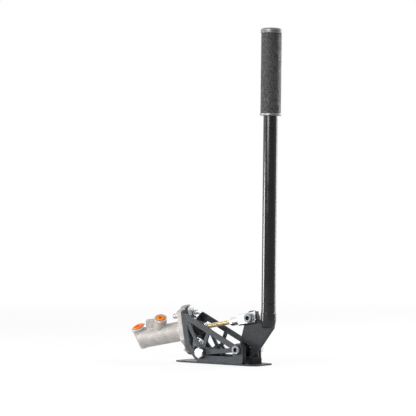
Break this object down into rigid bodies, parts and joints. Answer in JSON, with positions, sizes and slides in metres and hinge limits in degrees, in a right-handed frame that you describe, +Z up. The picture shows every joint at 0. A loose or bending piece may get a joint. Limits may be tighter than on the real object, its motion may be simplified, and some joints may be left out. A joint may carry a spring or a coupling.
{
  "type": "hydraulic handbrake lever",
  "caption": "Upright hydraulic handbrake: a tall lever on a truss frame pushes a cast master cylinder through a clevis and pushrod.",
  "frame": {"origin": "middle of the four floor bolt holes, on the underside of the base plate", "axes": "+Z up along the lever, +X towards the lever's end of the base, the right-hand side plate at -Y"},
  "size_m": [0.3265, 0.0734, 0.5846],
  "materials": {
    "frame_powder_coat": "fine powder coat, blue-black, satin",
    "lever_paint": "powder coat, dark grey, satin",
    "tube_paint": "black gloss enamel",
    "bright_zinc": "bright zinc plate",
    "black_oxide": "black oxide on steel",
    "screw_steel": "turned steel",
    "cast_aluminium": "sand-cast, bead-blasted",
    "yellow_zinc": "yellow passivated zinc plate",
    "bronze": "sintered bronze",
    "black_rubber": "moulded rubber",
    "inlet_plug_plastic": "moulded plastic, orange",
    "outlet_plug_plastic": "moulded plastic, red-orange",
    "grip_rubber": "closed-cell grip, fine grain",
    "grip_ring_metal": "turned, grey anodised"
  },
  "bodies": {
    "frame": {"base_plate": "frame_powder_coat", "lug_right": "frame_powder_coat", "lug_left": "frame_powder_coat", "side_plate_right": "frame_powder_coat", "side_plate_left": "frame_powder_coat", "cylinder_bulkhead": "frame_powder_coat", "frame_spacers": "frame_powder_coat", "tie_bolt": "bright_zinc", "tie_washers": "black_oxide", "tie_nut": "bright_zinc", "tie_tube": "frame_powder_coat", "lever_stop": "frame_powder_coat", "pivot_bolt": "screw_steel", "pivot_washer": "bright_zinc", "pivot_nut": "bright_zinc", "pivot_sleeve": "screw_steel", "cylinder_body": "cast_aluminium", "cylinder_studs": "bright_zinc", "cylinder_washers": "bright_zinc", "cylinder_outer_nuts": "bright_zinc", "cylinder_inner_nuts": "bright_zinc", "inlet_plug": "inlet_plug_plastic", "outlet_plug": "outlet_plug_plastic", "stop_washer": "screw_steel", "circlip": "screw_steel", "return_spring": "screw_steel", "dust_boot": "black_rubber"},
    "lever": {"lever_plate": "lever_paint", "pivot_tube": "lever_paint", "pivot_rings": "lever_paint", "pivot_bushes": "bronze", "ear_bush": "bronze", "tube_socket": "tube_paint", "lever_tube": "tube_paint", "grip_sleeve": "grip_rubber", "grip_lower_ring": "grip_ring_metal", "grip_upper_ring": "grip_ring_metal", "grip_end_cap": "grip_ring_metal"},
    "pushrod": {"clevis": "bright_zinc", "clevis_bolt": "screw_steel", "clevis_washer": "bright_zinc", "clevis_nut": "bright_zinc", "jam_nut": "bright_zinc", "pushrod": "yellow_zinc", "boot_collar": "bright_zinc"},
    "piston": {"piston": "screw_steel", "primary_seal": "black_rubber", "secondary_seal": "black_rubber"}
  },
  "joints": [
    {"name": "lever_pull", "type": "hinge", "parent": "frame", "child": "lever", "pos_m": [0.052, 0, 0.0275], "axis": [0, -1, 0], "range_deg": [0, 18], "stiffness_Nm_per_rad": 4, "springref_deg": -8.59},
    {"name": "clevis_swing", "type": "hinge", "parent": "lever", "child": "pushrod", "pos_m": [0.0655, 0, 0.0825], "axis": [0, -1, 0], "range_deg": [-17, 0]},
    {"name": "piston_stroke", "type": "slide", "parent": "frame", "child": "piston", "axis": [-0.9839, 0, -0.1788], "range_m": [0, 0.0175], "deforming": ["return_spring", "dust_boot"]}
  ],
  "couplings": [
    {"joint": "clevis_swing", "follows": "lever_pull", "ratio": -0.8966},
    {"joint": "piston_stroke", "follows": "lever_pull", "m_per_rad": 0.054216}
  ]
}
